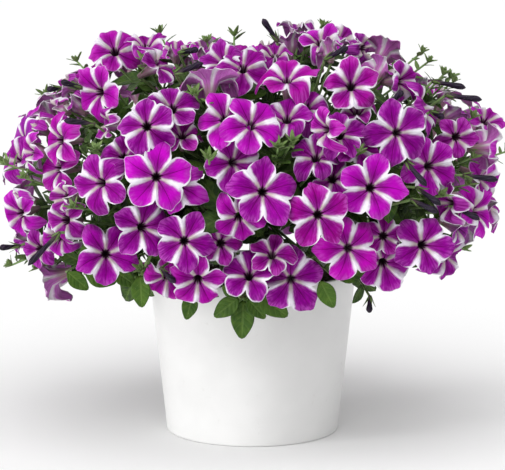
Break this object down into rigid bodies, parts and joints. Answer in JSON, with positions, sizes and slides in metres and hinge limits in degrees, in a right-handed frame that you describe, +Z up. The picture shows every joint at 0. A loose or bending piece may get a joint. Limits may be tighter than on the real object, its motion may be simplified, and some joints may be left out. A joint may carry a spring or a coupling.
{
  "type": "potted petunia",
  "caption": "Petunia in full bloom in a plain round tapered pot: a wide mound of white-striped purple funnel flowers on stalks, with leafy shoots and dark furled buds.",
  "frame": {"origin": "centre of the pot's flat foot, on the surface it rests on", "axes": "+Z up along the pot's axis, -Y towards the front of the plant as pictured, +X to the right of someone facing that front"},
  "size_m": [0.489, 0.4305, 0.3896],
  "materials": {
    "pot": "satin",
    "soil": "matt, crumbly",
    "leaf": "matt, softly hairy",
    "petal": "velvety, striped white"
  },
  "bodies": {
    "root": {"pot": "pot", "soil": "soil", "leafy_stem_01": "leaf", "leafy_stem_02": "leaf", "leafy_stem_03": "leaf", "leafy_stem_04": "leaf", "leafy_stem_05": "leaf", "leafy_stem_06": "leaf", "leafy_stem_07": "leaf", "leafy_stem_08": "leaf", "leafy_stem_09": "leaf", "leafy_stem_10": "leaf", "leafy_stem_11": "leaf", "leafy_stem_12": "leaf", "bloom_bunch_01": "petal", "bloom_bunch_02": "petal", "bloom_bunch_03": "petal", "bloom_bunch_04": "petal", "bloom_bunch_05": "petal", "bloom_bunch_06": "petal", "bloom_bunch_07": "petal", "bloom_bunch_08": "petal", "bloom_bunch_09": "petal", "bloom_bunch_10": "petal", "bloom_bunch_11": "petal", "bloom_bunch_12": "petal", "bloom_bunch_13": "petal", "bloom_bunch_14": "petal", "bloom_bunch_15": "petal", "bloom_bunch_16": "petal", "bloom_bunch_17": "petal", "bloom_bunch_18": "petal", "bloom_bunch_19": "petal", "bloom_bunch_20": "petal", "bloom_bunch_21": "petal", "bloom_bunch_22": "petal", "bloom_bunch_23": "petal", "bloom_bunch_24": "petal", "bloom_bunch_25": "petal", "bloom_bunch_26": "petal", "bloom_bunch_27": "petal", "bloom_bunch_28": "petal", "bloom_bunch_29": "petal", "bloom_bunch_30": "petal", "bloom_bunch_31": "petal", "bloom_bunch_32": "petal", "bloom_bunch_33": "petal", "bloom_bunch_34": "petal", "bloom_bunch_35": "petal", "bloom_bunch_36": "petal", "bloom_bunch_37": "petal", "bloom_bunch_38": "petal", "bloom_bunch_39": "petal", "bloom_bunch_40": "petal", "bloom_bunch_41": "petal"}
  },
  "joints": []
}
